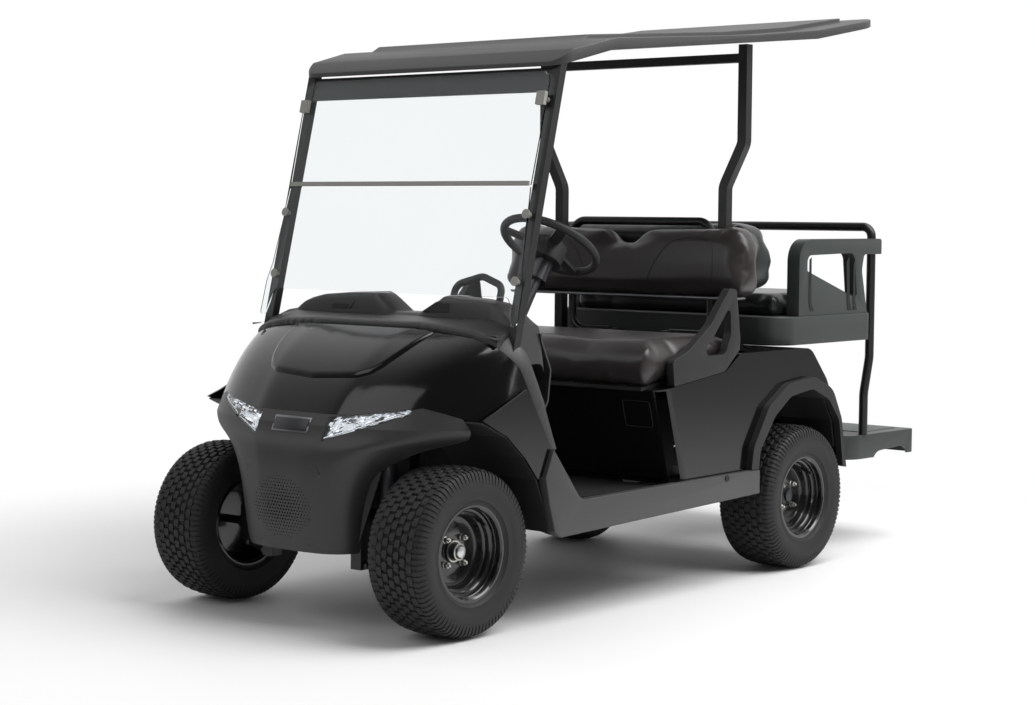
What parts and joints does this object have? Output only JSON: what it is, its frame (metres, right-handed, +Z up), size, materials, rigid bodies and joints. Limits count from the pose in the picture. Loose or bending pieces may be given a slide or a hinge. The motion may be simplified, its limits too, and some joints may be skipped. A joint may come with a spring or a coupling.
{
  "type": "electric golf cart",
  "caption": "Four-seat electric golf cart with a canopy, folding windshield, lifting front bench, rear-facing bench and footplate, steered front wheels.",
  "frame": {"origin": "on the ground under the middle of the cart's bounding box", "axes": "+Z up, -Y towards the front of the cart, +X towards its left"},
  "size_m": [1.1964, 2.8199, 1.908],
  "materials": {
    "tyre": "turf tread",
    "rim": "gloss black",
    "cast_steel": "cast",
    "black_steel": "semi-gloss",
    "spring_steel": "satin",
    "battery_case": "moulded",
    "gloss_body": "gloss",
    "lamp_lens": "clear lens",
    "satin_body": "satin moulded",
    "floor_rubber": "ribbed",
    "rocker_grey": "satin",
    "liner_black": "moulded",
    "tail_lens": "lens",
    "roof_skin": "satin moulded",
    "clear_glazing": "clear sheet",
    "clip_grey": "moulded",
    "column_steel": "satin",
    "soft_black": "moulded",
    "board_black": "moulded",
    "seat_vinyl": "grained",
    "rear_vinyl": "grained",
    "moulded_kit": "moulded"
  },
  "bodies": {
    "cart": {"front_suspension_arms": "black_steel", "suspension_springs": "spring_steel", "chassis_frame": "black_steel", "rear_axle": "cast_steel", "battery_pack": "battery_case", "front_cowl": "gloss_body", "headlights": "lamp_lens", "front_fascia": "satin_body", "grille_panel": "satin_body", "dashboard": "satin_body", "floor_mat": "floor_rubber", "rocker_panels": "rocker_grey", "wheel_liners": "liner_black", "rear_body": "gloss_body", "tail_lamps": "tail_lens", "roof": "roof_skin", "front_hoop": "black_steel", "rear_hoop": "black_steel", "windshield_panes": "clear_glazing", "windshield_fittings": "clip_grey", "steering_column": "column_steel", "dash_grab_handle": "soft_black", "pedals": "soft_black", "seat_back": "seat_vinyl", "rear_backrest": "rear_vinyl", "rear_seat_cushion": "rear_vinyl", "hip_restraints": "liner_black", "rear_seat_tub": "moulded_kit", "rear_armrests": "moulded_kit", "footplate": "moulded_kit", "rear_kit_frame": "black_steel"},
    "left_knuckle": {"knuckle_left": "cast_steel"},
    "right_knuckle": {"knuckle_right": "cast_steel"},
    "front_left_wheel": {"tyre_front_left": "tyre", "rim_front_left": "rim"},
    "front_right_wheel": {"tyre_front_right": "tyre", "rim_front_right": "rim"},
    "rear_left_wheel": {"tyre_rear_left": "tyre", "rim_rear_left": "rim"},
    "rear_right_wheel": {"tyre_rear_right": "tyre", "rim_rear_right": "rim"},
    "track_rod": {"tie_rods": "spring_steel"},
    "hand_wheel": {"steering_wheel": "soft_black"},
    "seat_lid": {"seat_board": "board_black", "seat_cushion": "seat_vinyl"}
  },
  "joints": [
    {"name": "left_steer", "type": "hinge", "parent": "cart", "child": "left_knuckle", "pos_m": [0.372, -1.175, 0.245], "axis": [0, 0, 1], "range_deg": [-25, 25]},
    {"name": "right_steer", "type": "hinge", "parent": "cart", "child": "right_knuckle", "pos_m": [-0.372, -1.175, 0.245], "axis": [0, 0, 1], "range_deg": [-25, 25]},
    {"name": "track_rod_slide", "type": "slide", "parent": "cart", "child": "track_rod", "axis": [1, 0, 0], "range_m": [-0.0365, 0.0365]},
    {"name": "steering_turn", "type": "hinge", "parent": "cart", "child": "hand_wheel", "pos_m": [0.28, -0.513, 1.105], "axis": [0, 0.5549, 0.8319], "range_deg": [-350, 350]},
    {"name": "front_left_roll", "type": "hinge", "parent": "left_knuckle", "child": "front_left_wheel", "pos_m": [0.456, -1.175, 0.245], "axis": [1, 0, 0], "continuous": true},
    {"name": "front_right_roll", "type": "hinge", "parent": "right_knuckle", "child": "front_right_wheel", "pos_m": [-0.456, -1.175, 0.245], "axis": [1, 0, 0], "continuous": true},
    {"name": "rear_left_roll", "type": "hinge", "parent": "cart", "child": "rear_left_wheel", "pos_m": [0.495, 0.494, 0.245], "axis": [1, 0, 0], "continuous": true},
    {"name": "rear_right_roll", "type": "hinge", "parent": "cart", "child": "rear_right_wheel", "pos_m": [-0.495, 0.494, 0.245], "axis": [1, 0, 0], "continuous": true},
    {"name": "seat_lift", "type": "hinge", "parent": "cart", "child": "seat_lid", "pos_m": [0, 0.177, 0.742], "axis": [-1, 0, 0], "range_deg": [0, 68]}
  ],
  "couplings": [
    {"joint": "right_steer", "follows": "left_steer", "ratio": 1},
    {"joint": "track_rod_slide", "follows": "left_steer", "m_per_rad": -0.0823},
    {"joint": "steering_turn", "follows": "left_steer", "ratio": 14}
  ]
}
